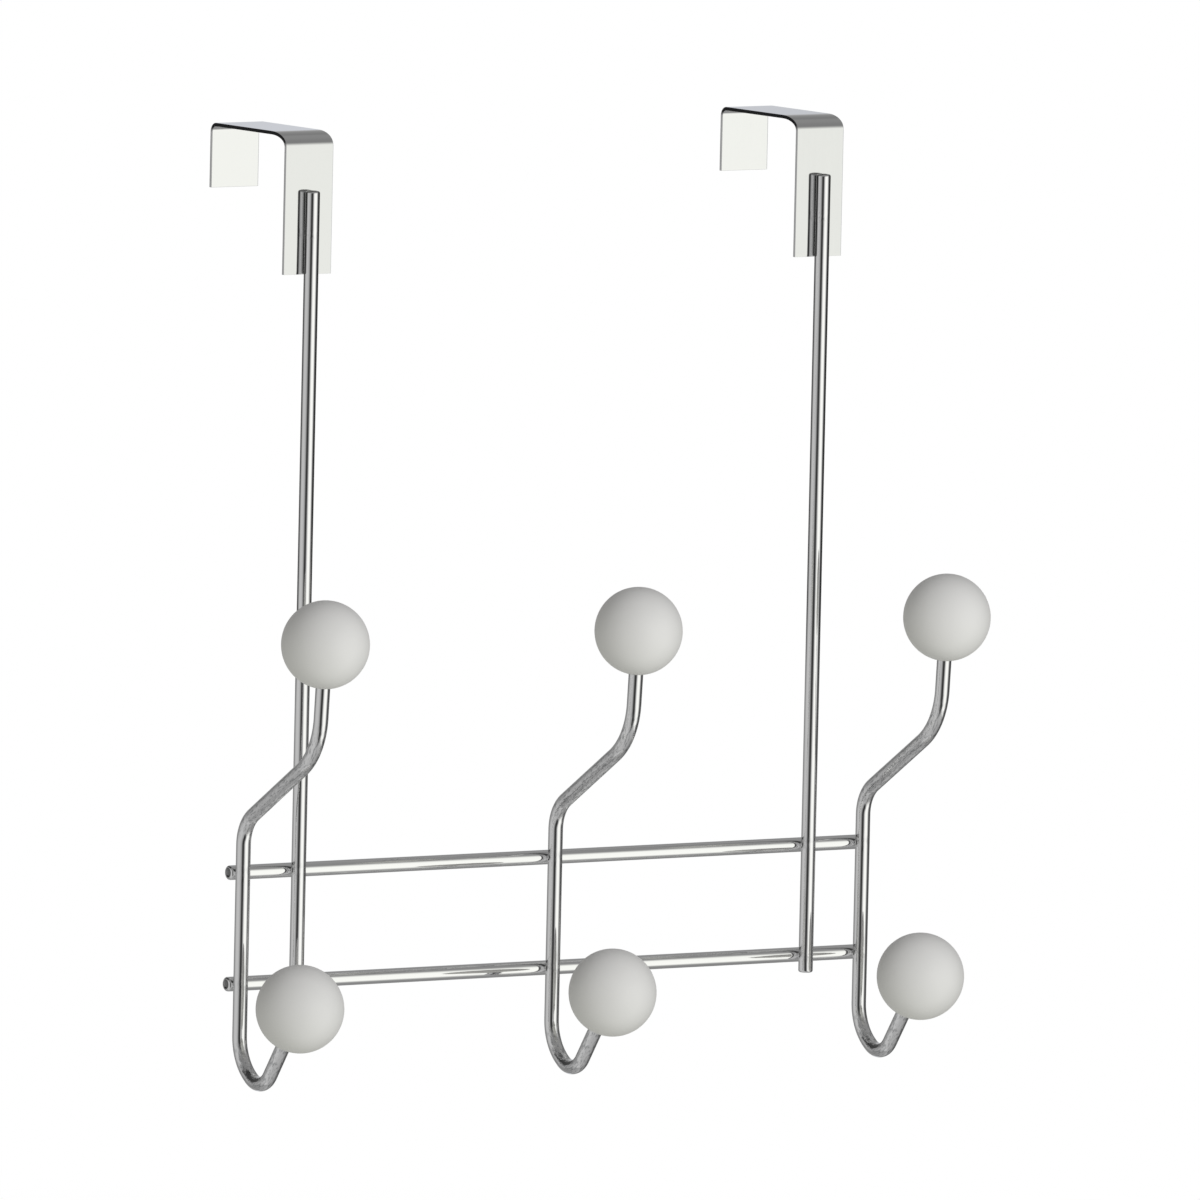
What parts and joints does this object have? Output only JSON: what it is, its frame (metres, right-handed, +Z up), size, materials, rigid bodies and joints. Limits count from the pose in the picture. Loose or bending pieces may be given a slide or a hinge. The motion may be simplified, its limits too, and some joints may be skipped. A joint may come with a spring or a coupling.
{
  "type": "over door hook rack",
  "caption": "Over door coat rack: folded strap brackets, wire uprights and rails, and double hooks of bent wire with ball tips.",
  "frame": {"origin": "midway between the two brackets, level with the undersides of their tops and with the backs of their front legs", "axes": "+Z up, +X to the right seen from the front, +Y from the front of the door to its back; the hooks reach to -Y"},
  "size_m": [0.284, 0.1127, 0.324],
  "materials": {
    "strap": "polished",
    "wire": "polished",
    "ball": "matte"
  },
  "bodies": {
    "root": {"left_door_bracket": "strap", "right_door_bracket": "strap", "left_upright": "wire", "right_upright": "wire", "upper_rail": "wire", "lower_rail": "wire", "left_hook": "wire", "middle_hook": "wire", "right_hook": "wire", "left_upper_ball": "ball", "middle_upper_ball": "ball", "right_upper_ball": "ball", "left_lower_ball": "ball", "middle_lower_ball": "ball", "right_lower_ball": "ball"}
  },
  "joints": []
}
